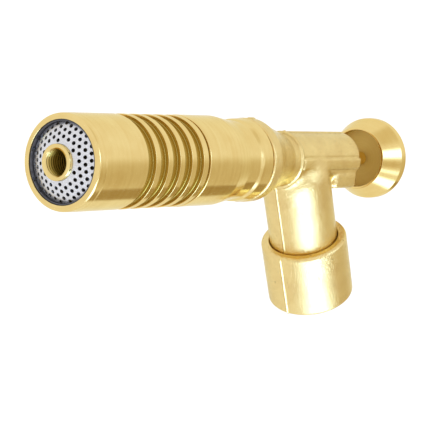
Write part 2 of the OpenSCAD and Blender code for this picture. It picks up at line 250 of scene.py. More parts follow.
# The same distance as a table on a 0.1 mm grid, read back with straight-line blending between grid points
def distanceTable(outline, step=0.1, margin=6.0):
    span = outline[:, 1].min() - margin, outline[:, 1].max() + margin
    radii = np.arange(0, outline[:, 0].max() + margin, step)
    places = np.arange(span[0], span[1], step)
    grid = np.stack(np.meshgrid(radii, places, indexing="ij"), -1)
    table = outlineDistance(grid.reshape(-1, 2), outline).reshape(grid.shape[:2])

    def read(radius, place):
        i = np.clip(radius / step, 0, len(radii) - 1.001)
        j = np.clip((place - span[0]) / step, 0, len(places) - 1.001)
        a, b = i.astype(int), j.astype(int)
        i, j = i - a, j - b
        low = table[a, b] * (1 - j) + table[a, b + 1] * j
        high = table[a + 1, b] * (1 - j) + table[a + 1, b + 1] * j
        return low * (1 - i) + high * i
    return read


# Skin of a solid given as a field that is negative inside: one point for each grid cell that the skin crosses, at
# the mean of its edge crossings, then moved along the field's slope until the field is zero there. Cells round
# each crossed grid edge are joined by a four-sided face.
def skinMesh(name, field, axesMm):
    grid = np.stack(np.meshgrid(*axesMm, indexing="ij"), -1)
    value = field(grid.reshape(-1, 3)).reshape(grid.shape[:3])
    inside = value < 0
    size = np.array(value.shape) - 1
    corners = [(a, b, c) for a in (0, 1) for b in (0, 1) for c in (0, 1)]

    def part(array, corner):
        return array[tuple(slice(k, k + n) for k, n in zip(corner, size))]

    filledCorners = sum(part(inside, corner).astype(np.int8) for corner in corners)
    cells = np.argwhere((filledCorners > 0) & (filledCorners < 8))
    number = np.full(size, -1)
    number[tuple(cells.T)] = np.arange(len(cells))
    total, hits = np.zeros((len(cells), 3)), np.zeros(len(cells))
    for one in corners:
        for axis in range(3):
            if one[axis]:
                continue
            other = tuple(k + (n == axis) for n, k in enumerate(one))
            first, second = tuple((cells + one).T), tuple((cells + other).T)
            crossed = inside[first] != inside[second]
            a, b = value[first], value[second]
            t = np.where(crossed, a / np.where(crossed, a - b, 1), 0)[:, None]
            total += np.where(crossed[:, None], grid[first] * (1 - t) + grid[second] * t, 0)
            hits += crossed
    co = total / hits[:, None]
    probe = 0.03  # mm to each side of a point, between which the slope is read
    for _ in range(4):
        slope = np.stack([field(co + d) - field(co - d) for d in np.eye(3) * probe], -1) / (2 * probe)
        co = co - np.clip(field(co) / np.maximum((slope ** 2).sum(1), 0.05), -0.3, 0.3)[:, None] * slope
    faces = []
    for axis in range(3):
        near = [slice(1, n) for n in size]
        near[axis] = slice(0, size[axis])
        far = list(near)
        far[axis] = slice(1, size[axis] + 1)
        a, b = inside[tuple(near)], inside[tuple(far)]
        place = np.argwhere(a != b) + [0 if k == axis else 1 for k in range(3)]
        outward = (a & ~b)[a != b]
        u, v = np.eye(3, dtype=int)[(axis + 1) % 3], np.eye(3, dtype=int)[(axis + 2) % 3]
        quad = np.stack([number[tuple((place - k).T)] for k in (u + v, v, 0 * u, u)], -1)
        quad[~outward] = quad[~outward, ::-1]
        faces.append(quad)
    mesh = bpy.data.meshes.new(name)
    mesh.from_pydata((co * mm).tolist(), [], np.concatenate(faces).tolist())
    return finished(name, mesh)


# Unevenness of a casting, in mm: six slow sine waves in fixed directions, added up
waveRng = np.random.default_rng(7)
waveDirs = waveRng.normal(size=(6, 3))
waveDirs /= np.linalg.norm(waveDirs, axis=1)[:, None]
waveDirs *= 2 * math.pi / np.array([5.0, 6.5, 8.0, 9.5, 12.0, 15.0])[:, None]
waveStart = waveRng.uniform(0, 6.28, 6)


def castWaves(points, height):
    return height * np.sin(points @ waveDirs.T + waveStart).sum(-1) / 3


def linear(hexColour):  # sRGB hex to the linear colour that nodes use
    channels = [int(hexColour[k:k + 2], 16) / 255 for k in (1, 3, 5)]
    return tuple(c / 12.92 if c <= 0.04045 else ((c + 0.055) / 1.055) ** 2.4 for c in channels) + (1.0,)


def addNode(tree, kind, settings=None, links=None):  # one node, its settings and what feeds it
    node = tree.nodes.new(kind)
    for key, value in (settings or {}).items():
        if isinstance(key, str) and hasattr(node, key):
            setattr(node, key, value)
        else:
            node.inputs[key].default_value = value
    for key, source in (links or {}).items():
        tree.links.new(source, node.inputs[key])
    return node


def newFinish(name, **constants):  # empty material with a Principled shader and its plain settings
    material = bpy.data.materials.new(name)
    material.use_nodes = True
    tree = material.node_tree
    tree.nodes.clear()
    shader = addNode(tree, "ShaderNodeBsdfPrincipled", constants)
    addNode(tree, "ShaderNodeOutputMaterial", {}, {"Surface": shader.outputs["BSDF"]})
    return material, tree, shader


torchTurn = (0.0, math.atan2(flameDir[0], flameDir[2]), 0.0)


# Object coordinates in millimetres with z along the axis, the distance away from that axis, and the sum of z and
# that distance, which changes along a side as well as across an end face
def axisPlace(tree, start, turn):
    place = addNode(tree, "ShaderNodeTexCoord")
    turned = addNode(tree, "ShaderNodeMapping",
                     {"vector_type": "TEXTURE", "Location": tuple(start * mm), "Rotation": turn,
                      "Scale": (mm, mm, mm)}, {"Vector": place.outputs["Object"]})
    split = addNode(tree, "ShaderNodeSeparateXYZ", {}, {"Vector": turned.outputs["Vector"]})
    flat = addNode(tree, "ShaderNodeVectorMath", {"operation": "MULTIPLY", 1: (1, 1, 0)},
                   {0: turned.outputs["Vector"]})
    out = addNode(tree, "ShaderNodeVectorMath", {"operation": "LENGTH"}, {0: flat.outputs["Vector"]})
    reachAcross = addNode(tree, "ShaderNodeMath", {"operation": "ADD"},
                          {0: split.outputs["Z"], 1: out.outputs["Value"]})
    return {"point": turned.outputs["Vector"], "across": reachAcross.outputs[0], "away": out.outputs["Value"]}


def feedShader(tree, shader, colour, rough, normal):  # the three inputs that vary over every finish
    for name, source in (("Base Color", colour), ("Roughness", rough), ("Normal", normal)):
        tree.links.new(source, shader.inputs[name])


brassEdge = "#F7F3D9"  # what brass turns to where it is seen at a low angle

# Brass cut on a lathe: the tool leaves fine rings, so the gloss is satin along the piece and the colour
# shifts a little from ring to ring. Rings are drawn 0.45 and 1.6 mm apart; real ones are 0.1 mm. The painted shade
# that a piece carries in its grooves, recesses and bores takes the colour to its deep shade at 1 and on to its
# darkest shade at 2, and dulls it on the way.
turning = {"fine": 0.45, "wide": 1.6, "cloud": 7.0, "wideShare": 0.6, "wideBump": 2.2, "darkestShade": "#6A5218"}


def turnedBrass(name, look):
    material, tree, shader = newFinish(name, **{"Metallic": 1.0, "Specular Tint": linear(brassEdge)})
    place = axisPlace(tree, rimCentre, torchTurn)
    fineRings = addNode(tree, "ShaderNodeTexNoise",
                        {"noise_dimensions": "1D", "Scale": 1 / turning["fine"], "Detail": 2.0},
                        {"W": place["across"]})
    wideRings = addNode(tree, "ShaderNodeTexNoise",
                        {"noise_dimensions": "1D", "Scale": 1 / turning["wide"], "Detail": 3.0},
                        {"W": place["across"]})
    cloud = addNode(tree, "ShaderNodeTexNoise", {"Scale": 1 / turning["cloud"], "Detail": 4.0},
                    {"Vector": place["point"]})
    blend = addNode(tree, "ShaderNodeMath", {"operation": "MULTIPLY_ADD", 1: turning["wideShare"]},
                    {0: wideRings.outputs["Fac"], 2: cloud.outputs["Fac"]})
    spread = addNode(tree, "ShaderNodeMapRange", {"From Min": 0.55, "From Max": 1.05}, {"Value": blend.outputs[0]})
    plain = addNode(tree, "ShaderNodeMix", {"data_type": "RGBA", 6: linear(look["low"]), 7: linear(look["high"])},
                    {0: spread.outputs["Result"]})
    # painted shade carried by the piece: towards the deep colour at 1, the darkest shade at 2, and rougher
    paintedShade = addNode(tree, "ShaderNodeAttribute", {"attribute_name": "paintedShade"})
    deepened = addNode(tree, "ShaderNodeMix", {"data_type": "RGBA", 7: linear(look["deep"])},
                       {0: paintedShade.outputs["Fac"], 6: plain.outputs[2]})
    darkestShade = addNode(tree, "ShaderNodeMapRange", {"From Min": 1.0, "From Max": 2.0}, {"Value": paintedShade.outputs["Fac"]})
    mixed = addNode(tree, "ShaderNodeMix", {"data_type": "RGBA", 7: linear(turning["darkestShade"])},
                    {0: darkestShade.outputs["Result"], 6: deepened.outputs[2]})
    rough = addNode(tree, "ShaderNodeMapRange",
                    {"To Min": look["rough"] - 0.04, "To Max": look["rough"] + 0.05,
                     "From Min": 0.3, "From Max": 0.7}, {"Value": fineRings.outputs["Fac"]})
    rougher = addNode(tree, "ShaderNodeMath", {"operation": "MULTIPLY_ADD", 1: look["shadeRough"]},
                      {0: paintedShade.outputs["Fac"], 2: rough.outputs["Result"]})
    ringBump = addNode(tree, "ShaderNodeBump", {"Strength": 1.0, "Distance": look["ring"]},
                       {"Height": fineRings.outputs["Fac"]})
    wideBump = addNode(tree, "ShaderNodeBump", {"Strength": 1.0, "Distance": look["ring"] * turning["wideBump"]},
                       {"Height": wideRings.outputs["Fac"], "Normal": ringBump.outputs["Normal"]})
    feedShader(tree, shader, mixed.outputs[2], rougher.outputs[0], wideBump.outputs["Normal"])
    return material


# Brass cast in a mould and tumbled: a glossy skin with grain about 0.55 mm across that breaks up the edges of a
# reflection, small dark pits, and slow changes of shade. Sizes are in mm.
moulding = {"swell": 3.5, "cloud": 9.0, "pit": 1.1, "pitShade": 0.5, "pitDepth": 1.5}


def castBrass(name, look):
    material, tree, shader = newFinish(name, **{"Metallic": 1.0, "Specular Tint": linear(brassEdge)})
    point = axisPlace(tree, crossing, (0.0, 0.0, 0.0))["point"]
    grain = addNode(tree, "ShaderNodeTexNoise", {"Scale": 1 / look["grain"], "Detail": 3.0, "Roughness": 0.6},
                    {"Vector": point})
    swell = addNode(tree, "ShaderNodeTexNoise", {"Scale": 1 / moulding["swell"], "Detail": 2.0}, {"Vector": point})
    cloud = addNode(tree, "ShaderNodeTexNoise", {"Scale": 1 / moulding["cloud"], "Detail": 5.0, "Roughness": 0.6},
                    {"Vector": point})
    pitNoise = addNode(tree, "ShaderNodeTexNoise",
                       {"Scale": 1 / moulding["pit"], "Detail": 2.0, "Distortion": 0.4}, {"Vector": point})
    pits = addNode(tree, "ShaderNodeMapRange", {"From Min": 0.7, "From Max": 0.8}, {"Value": pitNoise.outputs["Fac"]})
    shade = addNode(tree, "ShaderNodeMapRange", {"From Min": 0.35, "From Max": 0.65},
                    {"Value": cloud.outputs["Fac"]})
    plain = addNode(tree, "ShaderNodeMix", {"data_type": "RGBA", 6: linear(look["low"]), 7: linear(look["high"])},
                    {0: shade.outputs["Result"]})
    # painted shade that a piece carries as an attribute is added to the dark pits and takes the colour towards its
    # deep shade
    paintedShade = addNode(tree, "ShaderNodeAttribute", {"attribute_name": "paintedShade"})
    darkness = addNode(tree, "ShaderNodeMath",
                       {"operation": "MULTIPLY_ADD", "use_clamp": True, 1: moulding["pitShade"]},
                       {0: pits.outputs["Result"], 2: paintedShade.outputs["Fac"]})
    mixed = addNode(tree, "ShaderNodeMix", {"data_type": "RGBA", 7: linear(look["deep"])},
                    {0: darkness.outputs[0], 6: plain.outputs[2]})
    rough = addNode(tree, "ShaderNodeMapRange", {"To Min": look["rough"] - 0.03, "To Max": look["rough"] + 0.06},
                    {"Value": grain.outputs["Fac"]})
    swellBump = addNode(tree, "ShaderNodeBump", {"Strength": 1.0, "Distance": look["swell"]},
                        {"Height": swell.outputs["Fac"]})
    grainBump = addNode(tree, "ShaderNodeBump", {"Strength": 1.0, "Distance": look["bump"]},
                        {"Height": grain.outputs["Fac"], "Normal": swellBump.outputs["Normal"]})
    pitBump = addNode(tree, "ShaderNodeBump",
                      {"Strength": 1.0, "Distance": look["bump"] * moulding["pitDepth"], "invert": True},
                      {"Height": pits.outputs["Result"], "Normal": grainBump.outputs["Normal"]})
    feedShader(tree, shader, mixed.outputs[2], rough.outputs["Result"], pitBump.outputs["Normal"])
    return material


# Plain finish for sheet, wire, seals and fibre: two shades mixed by a grainy noise, which also drives the bump
def grainyFinish(name, look, **constants):
    material, tree, shader = newFinish(name, **constants)
    place = axisPlace(tree, rimCentre, torchTurn)
    stretched = addNode(tree, "ShaderNodeMapping", {"Scale": look.get("stretch", (1, 1, 1))},
                        {"Vector": place["point"]})
    grain = addNode(tree, "ShaderNodeTexNoise", {"Scale": 1 / look["grain"], "Detail": 4.0, "Roughness": 0.6},
                    {"Vector": stretched.outputs["Vector"]})
    spread = addNode(tree, "ShaderNodeMapRange", {"From Min": 0.35, "From Max": 0.65},
                     {"Value": grain.outputs["Fac"]})
    mixed = addNode(tree, "ShaderNodeMix",
                    {"data_type": "RGBA", 6: linear(look["low"]), 7: linear(look["high"])},
                    {0: spread.outputs["Result"]})
    if "rim" in look:  # painted shade, darker towards its rim
        edge = addNode(tree, "ShaderNodeMapRange", {"From Min": look["rimShadeFrom"], "From Max": look["rimShadeTo"]},
                       {"Value": place["away"]})
        mixed = addNode(tree, "ShaderNodeMix", {"data_type": "RGBA", 7: linear(look["rim"])},
                        {0: edge.outputs["Result"], 6: mixed.outputs[2]})
    rough = addNode(tree, "ShaderNodeMapRange", {"To Min": look["rough"] - 0.06, "To Max": look["rough"] + 0.06},
                    {"Value": spread.outputs["Result"]})
    bump = addNode(tree, "ShaderNodeBump", {"Strength": 1.0, "Distance": look["bump"]},
                   {"Height": grain.outputs["Fac"]})
    feedShader(tree, shader, mixed.outputs[2], rough.outputs["Result"], bump.outputs["Normal"])
    return material


# Grain and rim are sizes in mm, while ring, bump and swell are depths in metres
finishes = {
    "turned_brass": turnedBrass("satin turned brass", {
        "low": "#E9CB84", "high": "#F2D995", "deep": "#AE9448", "rough": 0.15, "shadeRough": 0.12,
        "ring": 0.000003}),
    "polished_brass": turnedBrass("polished brass", {
        "low": "#EBCB80", "high": "#F0D48C", "deep": "#C2A252", "rough": 0.16, "shadeRough": 0.7,
        "ring": 0.0000016}),
    "inner_brass": turnedBrass("plain machined brass", {
        "low": "#CDA85C", "high": "#DAB86C", "deep": "#8C6826", "rough": 0.34, "shadeRough": 0.12,
        "ring": 0.000007}),
    "cast_brass": castBrass("tumbled cast brass", {
        "low": "#E6C988", "high": "#EFD695", "deep": "#9C7A34", "grain": 0.55, "rough": 0.12, "bump": 0.0002,
        "swell": 0.00003}),
    # Drilled stainless sheet: pale lilac grey, softly brushed by the deburring wheel, with painted shade darkening it
    # towards its rim
    "stainless_plate": grainyFinish("deburred stainless sheet", {
        "low": "#D2D2D6", "high": "#E8E8EC", "grain": 0.5, "rough": 0.36, "bump": 0.00001,
        "rimShadeFrom": 11.5, "rimShadeTo": 12.2, "rim": "#4C4C52"}, Metallic=1.0),
    # Woven stainless wire, darkened by heat
    "stainless_wire": grainyFinish("woven stainless wire", {
        "low": "#3A3A40", "high": "#56565C", "grain": 0.35, "rough": 0.5, "bump": 0.00006}, Metallic=0.8),
    # Ground steel rod: bright, with a fine grind
    "steel_rod": grainyFinish("ground steel rod", {
        "low": "#C6C2B8", "high": "#D8D4CA", "grain": 0.4, "stretch": (1, 1, 6), "rough": 0.24,
        "bump": 0.000004}, Metallic=1.0),
    # Sintered seal plastic: waxy white with a faint mottle
    "white_seal": grainyFinish("waxy white seal plastic", {
        "low": "#DEDCD2", "high": "#EBE9E1", "grain": 1.2, "rough": 0.42, "bump": 0.00001}, IOR=1.36),
    # Moulded nitrile rubber: near black, dull, with a fine skin
    "black_rubber": grainyFinish("moulded black rubber", {
        "low": "#1E1E20", "high": "#2B2B2D", "grain": 0.5, "rough": 0.6, "bump": 0.00002}, IOR=1.52),
    # Pressed fibre board: red-brown with short fibres across its face
    "fibre": grainyFinish("pressed red fibre", {
        "low": "#6E3527", "high": "#8E4C38", "grain": 0.5, "stretch": (4, 1, 1), "rough": 0.65,
        "bump": 0.00003}, IOR=1.5),
}
print("materials made")


# The piece rides, replaces and is painted as the nodes that it stands for
def placePiece(piece, nodeNames, slotName):
    piece.data.materials.clear()
    piece.data.materials.append(finishes[slotName])
    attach(piece, bodyOf[nodeNames[0]])
    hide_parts(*nodeNames)
    print(f"{piece.name}: {len(piece.data.polygons)} faces")


# Burner barrel: a recess for the flame plate in front and cooling grooves round it
barrel = {
    "radius": 14.5, "length": 53.5, "bore": 11.6, "recess": 12.5, "recessDepth": 8.0, "lip": 1.1,
    "band": 3.0, "bandDrop": 0.05,        # shallow step behind the lip
    "grooves": 5, "grooveStart": 22.8, "groovePitch": 6.05, "grooveWidth": 3.7, "grooveDepth": 1.25,
    "grooveEdge": 0.14, "grooveCorner": 0.25,
    "grooveShade": 0.92, "recessShade": 0.6, "recessShadeFrom": 1.0,        # painted shade on the groove floors and the recess wall; the recess is unshaded for its first millimetre
}
r = barrel["radius"]
corners = [(barrel["bore"], barrel["length"]), (barrel["bore"], barrel["recessDepth"]),
           (barrel["recess"], barrel["recessDepth"]), (barrel["recess"], 0, 0.3),
           (r - barrel["bandDrop"] - 0.08, 0, barrel["lip"]), (r - barrel["bandDrop"], barrel["band"], 0.5),
           (r, barrel["band"] + 0.5, 0.5)]
for k in range(barrel["grooves"]):
    s = barrel["grooveStart"] + k * barrel["groovePitch"]
    floor = r - barrel["grooveDepth"]
    corners += [(r, s, barrel["grooveEdge"]), (floor, s, barrel["grooveCorner"]),
                (floor, s + barrel["grooveWidth"], barrel["grooveCorner"]),
                (r, s + barrel["grooveWidth"], barrel["grooveEdge"])]
corners += [(r, barrel["length"], 0.35)]
outline = softOutline(corners)
# painted shade: the groove floors darken with depth, and the recess wall behind its first millimetre is darkened
floorDepth = np.clip((r - outline[:, 0] - 0.25) / (barrel["grooveDepth"] - 0.35), 0, 1)
inGroove = (outline[:, 1] > barrel["grooveStart"] - 0.1) & (outline[:, 0] > floor - 0.1)
paintedShade = np.where(inGroove, floorDepth * barrel["grooveShade"], 0)
inRecess = (outline[:, 0] < barrel["recess"] + 0.05) & (outline[:, 1] > barrel["recessShadeFrom"])
paintedShade = np.where(inRecess, barrel["recessShade"], paintedShade)
placePiece(turnedPiece("burnerBarrel", outline, *torchAxis, 224, paintedShade=paintedShade), ["burner_barrel"], "turned_brass")

# Centre tube, threaded inside: its front stands out of the plate, and its bore carries painted shade that is darkest
# 4 mm in
tube = {"radius": 5.4, "bore": 3.9, "front": -2.3, "end": 23.2, "pitch": 1.0, "threadDepth": 0.42, "lead": 0.5,
        "shadeFade": 2.0}
corners = [(tube["bore"], tube["end"]), (tube["bore"], tube["front"] + tube["lead"]),
           (tube["bore"] + tube["lead"], tube["front"]), (tube["radius"], tube["front"], 0.3),
           (tube["radius"], tube["end"], 0.2)]
outline = softOutline(corners, stride=1.5)
threadWall = threadedWall(tube["bore"], tube["end"] - 0.2, tube["front"] + 0.1, tube["pitch"])
outside = outline[(outline[:, 0] > tube["bore"] + 0.01)]
outline = np.concatenate([[(tube["bore"], tube["end"])], threadWall, outside])
# painted shade in the bore, deepening to its darkest 4 mm in
deeper = np.clip((outline[:, 1] - tube["front"]) / tube["shadeFade"], 0, 2)
paintedShade = np.where(outline[:, 0] < tube["bore"] + 0.2, deeper, 0)
tubeThread = innerThread(tube["pitch"], tube["threadDepth"], tube["bore"], tube["front"] - 0.1, tube["end"])
placePiece(turnedPiece("centreTube", outline, *torchAxis, 96, paintedShade=paintedShade, shift=tubeThread), ["centre_tube"],
           "turned_brass")

# Air collar: a loose sleeve that narrows towards its rear edge
collar = {"bore": 13.28, "radius": 14.6, "front": 54.35, "length": 23.45, "rearBevel": 6.1, "rearRadius": 13.75}
end = collar["front"] + collar["length"]
corners = [(collar["bore"], end), (collar["bore"], collar["front"], 0.1),
           (collar["radius"], collar["front"], 0.3), (collar["radius"], end - collar["rearBevel"], 1.5),
           (collar["rearRadius"], end, 0.15)]
placePiece(turnedPiece("airCollar", softOutline(corners), *torchAxis, 224), ["air_collar"], "turned_brass")

# Mixing tube: a spigot in the barrel, a low step that the collar rests against, air ports behind it, a groove for
# the collar's spring ring and a flare before the casting
mixing = {
    "radius": 13.2, "spigot": 11.55, "front": 46.05, "step": 53.55, "stop": 13.95, "stopWidth": 0.7,
    "bore": 11.0, "funnelDrop": 1, "funnelLength": 0.6,        # the bore narrows into the spigot
    "flareStart": 84.2, "flareMiddle": 13.7, "flareRise": 1.6, "flareEnd": 90.6, "flare": 13.95,
    "end": 91.1, "endDrop": 0.35, "groove": 70.0, "grooveHalf": 0.5, "grooveDepth": 0.85,
    "ports": 6, "portAt": 57.0, "portRadius": 2.5, "drillFrom": -18, "drillTo": -8,
}
r, stopEnd = mixing["radius"], mixing["step"] + mixing["stopWidth"]
grooveStart, grooveEnd = mixing["groove"] - mixing["grooveHalf"], mixing["groove"] + mixing["grooveHalf"]
spigotBore = mixing["bore"] - mixing["funnelDrop"]
corners = [(spigotBore, mixing["front"]), (mixing["spigot"], mixing["front"], 0.2),
           (mixing["spigot"], mixing["step"]), (mixing["stop"], mixing["step"], 0.1),
           (mixing["stop"], stopEnd, 0.1), (r, stopEnd), (r, grooveStart),
           (r - mixing["grooveDepth"], grooveStart), (r - mixing["grooveDepth"], grooveEnd), (r, grooveEnd),
           (r, mixing["flareStart"], 1.0),
           (mixing["flareMiddle"], mixing["flareStart"] + mixing["flareRise"], 3.0),
           (mixing["flare"], mixing["flareEnd"], 0.6),
           (mixing["flare"] - mixing["endDrop"], mixing["end"], 0.1), (mixing["bore"], mixing["end"]),
           (mixing["bore"], mixing["step"]), (spigotBore, mixing["step"] - mixing["funnelLength"])]
outline = softOutline(corners)
# painted shade on the low step, in the gap between the barrel and the collar
paintedShade = np.where((outline[:, 1] < mixing["step"] + 0.75) & (outline[:, 0] > r - 0.1), 1.0, 0)
tubePiece = turnedPiece("mixingTube", outline, *torchAxis, 192, paintedShade=paintedShade)
drillOutline = [(0, mixing["drillFrom"]), (mixing["portRadius"], mixing["drillFrom"]),
                (mixing["portRadius"], mixing["drillTo"]), (0, mixing["drillTo"])]
drills = []
for k in range(mixing["ports"]):
    angle = (k + 0.5) * 2 * math.pi / mixing["ports"]
    drill = sideDir * math.sin(angle) - upDir * math.cos(angle)
    across = np.cross(drill, flameDir)
    drills.append(boreCutter(drillOutline, rimCentre - flameDir * mixing["portAt"], drill, across))
cutAway(tubePiece, drills)
placePiece(tubePiece, ["mixing_tube"], "turned_brass")

# Knob: a flared cup, recessed round the rod, with a shallow dish at its back
knob = {"front": 168.2, "lip": 11.4, "wall": 0.8, "floor": 171.3, "rim": 15.1, "rimStart": 176.3, "end": 179.6,
        "dish": 0.8, "dishEdge": 3, "dishFloor": 4, "hole": 2.02, "recessShade": 0.7}
corners = [(knob["hole"], knob["floor"]), (knob["lip"] - knob["wall"], knob["floor"], 0.5),
           (knob["lip"] - knob["wall"], knob["front"], 0.2), (knob["lip"], knob["front"], 0.2),
           (knob["rim"] - 0.1, knob["rimStart"], 0.5), (knob["rim"], knob["end"], 0.7),
           (knob["rim"] - knob["dishEdge"], knob["end"], 0.4),
           (knob["rim"] - knob["dishFloor"], knob["end"] - knob["dish"], 0.4),
           (knob["hole"], knob["end"] - knob["dish"])]
outline = softOutline(corners, arcSteps=6)
# painted shade darkens and dulls the recess round the rod
inRecess = ((outline[:, 0] < knob["lip"] - 0.5) & (outline[:, 1] < knob["floor"] + 0.1)
            & (outline[:, 1] > knob["front"] + 0.4))
paintedShade = np.where(inRecess, knob["recessShade"], 0)
placePiece(turnedPiece("flaredKnob", outline, *torchAxis, 224, paintedShade=paintedShade), ["knob"], "polished_brass")

# Valve casting: the flange, shoulder, neck, ring and valve barrel lie along the torch axis, and the stem and its
# crown are given by height
casting = {
    "spigot": 10.95, "spigotFront": 83.5, "flange": 14.1, "flangeFront": 91.5,
    "shoulder": ((14.1, 95.8), (13.2, 98.4), (12.0, 102.0)),
    "neck": 9.35, "neckStart": 111.5, "ring": 116.0, "ringHeight": 0.35, "barrel": 9.55, "end": 155.0,
    "stem": 12.2, "stemFoot": 18.0, "crownStart": 48.8, "crownEnd": 57.5, "crownIn": 8.6,
    "fillet": 1.8,                       # how far the stem and the valve barrel blend into each other
    "ledgeTop": 1.8, "ledgeHeight": 3.6, "ledgeProud": 0.45, "ledgeSlope": 0.5, "ledgeEdge": 0.12,
    "ledgeGroove": 0.22, "grooveRise": 0.35, "grooveWidth": 0.3,        # dark line along the ledge's top
    "ledgeStart": 0.6, "ledgeFull": 1.4,                                # behind the ring
    "sideStart": 6.5, "sideFull": 7.5,                                  # out from the middle
    "flash": 0.36, "flashWidth": 0.34, "waves": 0.014,
    "skinStart": 0.6, "skinFull": 1.2,                                  # behind the flange's front, where it is cast
    "pad": 9.3, "padStart": 140.5, "padTop": -3.5, "padRounding": 1.6, "padBlend": 1.2,
    "padWaves": 0.12, "padWaveRate": 5, "padWaveStart": 5.5, "padWaveFull": 7.5
}
t = np.linspace(0, 1, 9)[:, None]
first, middle, last = (np.array(p) for p in casting["shoulder"])
shoulder = (1 - t) ** 2 * first + 2 * t * (1 - t) * middle + t * t * last
ringS, ringR = casting["ring"], casting["barrel"] + casting["ringHeight"]
corners = [(0, casting["spigotFront"]), (casting["spigot"], casting["spigotFront"], 0.3),
           (casting["spigot"], casting["flangeFront"]), (casting["flange"], casting["flangeFront"], 0.6)]
corners += [tuple(p) for p in shoulder]
corners += [(casting["neck"], casting["neckStart"], 3.0), (casting["neck"], ringS - 0.6, 0.2),
            (ringR, ringS - 0.3, 0.25), (ringR, ringS + 0.3, 0.25), (casting["barrel"], ringS + 0.6, 0.2),
            (casting["barrel"], casting["end"], 0.7), (0, casting["end"])]
barrelDistance = distanceTable(softOutline(corners, stride=100))
crown = [(casting["stem"] - casting["crownIn"] * (1 - math.cos(a)),
          casting["crownStart"] + (casting["crownEnd"] - casting["crownStart"]) * math.sin(a) / math.sin(math.pi / 3))
         for a in np.linspace(0, math.pi / 3, 12)]
corners = [(0, casting["stemFoot"]), (casting["stem"], casting["stemFoot"], 0.3)] + crown + [(0, casting["crownEnd"])]
stemDistance = distanceTable(softOutline(corners, stride=100))


def softStep(value, low, high):
    t = np.clip((value - low) / (high - low), 0, 1)
    return t * t * (3 - 2 * t)


def softJoin(first, second, blend):  # smooth minimum of two distances, which fills the corner between them
    share = np.clip(0.5 + 0.5 * (first - second) / blend, 0, 1)
    return first * (1 - share) + second * share - blend * share * (1 - share)


# Casting: the distances to the turned barrel with a ledge along each side, to the rough square pad under its back
# and to the stem, softly joined, less the height of the moulding line and of the cast waves
def castingField(points):
    away = points - crossing
    forward = away @ flameDir
    high = away @ upDir
    s = reach - forward
    ledgeFoot, ledgeTop = casting["ledgeTop"] - casting["ledgeHeight"], casting["ledgeTop"]
    ledge = softStep(high, ledgeFoot - casting["ledgeSlope"], ledgeFoot)
    ledge = ledge * (1 - softStep(high, ledgeTop - casting["ledgeEdge"], ledgeTop + casting["ledgeEdge"]))
    ledge = ledge - casting["ledgeGroove"] / casting["ledgeProud"] * np.exp(
        -((high - ledgeTop - casting["grooveRise"]) / casting["grooveWidth"]) ** 2)
    ledge = ledge * softStep(s, ringS + casting["ledgeStart"], ringS + casting["ledgeFull"])
    ledge = ledge * softStep(np.abs(points[:, 1]), casting["sideStart"], casting["sideFull"])
    along = barrelDistance(np.hypot(points[:, 1], high), s) - ledge * casting["ledgeProud"]
    down = stemDistance(np.hypot(points[:, 0], points[:, 1]), points[:, 2])
    past = np.stack([np.abs(points[:, 1]) - casting["pad"], -high - casting["pad"], high - casting["padTop"],
                     casting["padStart"] - s, s - casting["end"]], -1) + casting["padRounding"]
    pad = np.linalg.norm(np.maximum(past, 0), axis=-1) + np.minimum(past.max(-1), 0) - casting["padRounding"]
    rough = np.sin(points @ waveDirs[:3].T * casting["padWaveRate"]).sum(-1)
    pad = pad - casting["padWaves"] * rough / 3 * softStep(-high, casting["padWaveStart"], casting["padWaveFull"])
    solid = softJoin(down, softJoin(pad, along, casting["padBlend"]), casting["fillet"])
    outside = softStep(s, casting["flangeFront"] + casting["skinStart"], casting["flangeFront"] + casting["skinFull"])
    flash = casting["flash"] * np.exp(-(points[:, 1] / casting["flashWidth"]) ** 2)
    return solid - (flash + castWaves(points, casting["waves"])) * outside


def spacedAxis(low, high, step):
    return np.arange(low, high + step, step)


# Cells are fine across the moulding line, in the middle, and coarse elsewhere
cell = {"coarse": 0.46, "fine": 0.16, "fineReach": 0.64, "coarseFrom": 0.8}
boxLow, boxHigh = (np.array(corner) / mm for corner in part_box("valve_body"))
yOuter = spacedAxis(cell["coarseFrom"], boxHigh[1] + 1.5, cell["coarse"])
yMiddle = np.arange(-cell["fineReach"], cell["fineReach"] + 0.01, cell["fine"])
yAxis = np.concatenate([-yOuter[::-1], yMiddle, yOuter])
skin = skinMesh("valveCasting", castingField,
                (spacedAxis(boxLow[0] - 1, boxHigh[0] + 1, cell["coarse"]), yAxis,
                 spacedAxis(boxLow[2] - 1, boxHigh[2] + 1, cell["coarse"])))


# Stepped bore from steps of (radius, where it ends), the first of which begins at start
def steppedBore(start, steps):
    points = [(0, start)]
    for radius, end in steps:
        points += [(radius, points[-1][1]), (radius, end)]
    return points + [(0, points[-1][1])]


# Bores: carrier, gas passage, seat, spindle thread and gland along the torch axis, probe and gas passage up the stem
axial = boreCutter(steppedBore(82, [(5, 108.4), (1.8, 114.4), (3.95, 120.4), (4.08, 144.4), (6, 157)]), *torchAxis)
upright = boreCutter(steppedBore(14, [(4.5, 26), (2.5, 56.7)]), *stemAxis)
cutAway(skin, [axial, upright])
placePiece(skin, ["valve_body"], "cast_brass")

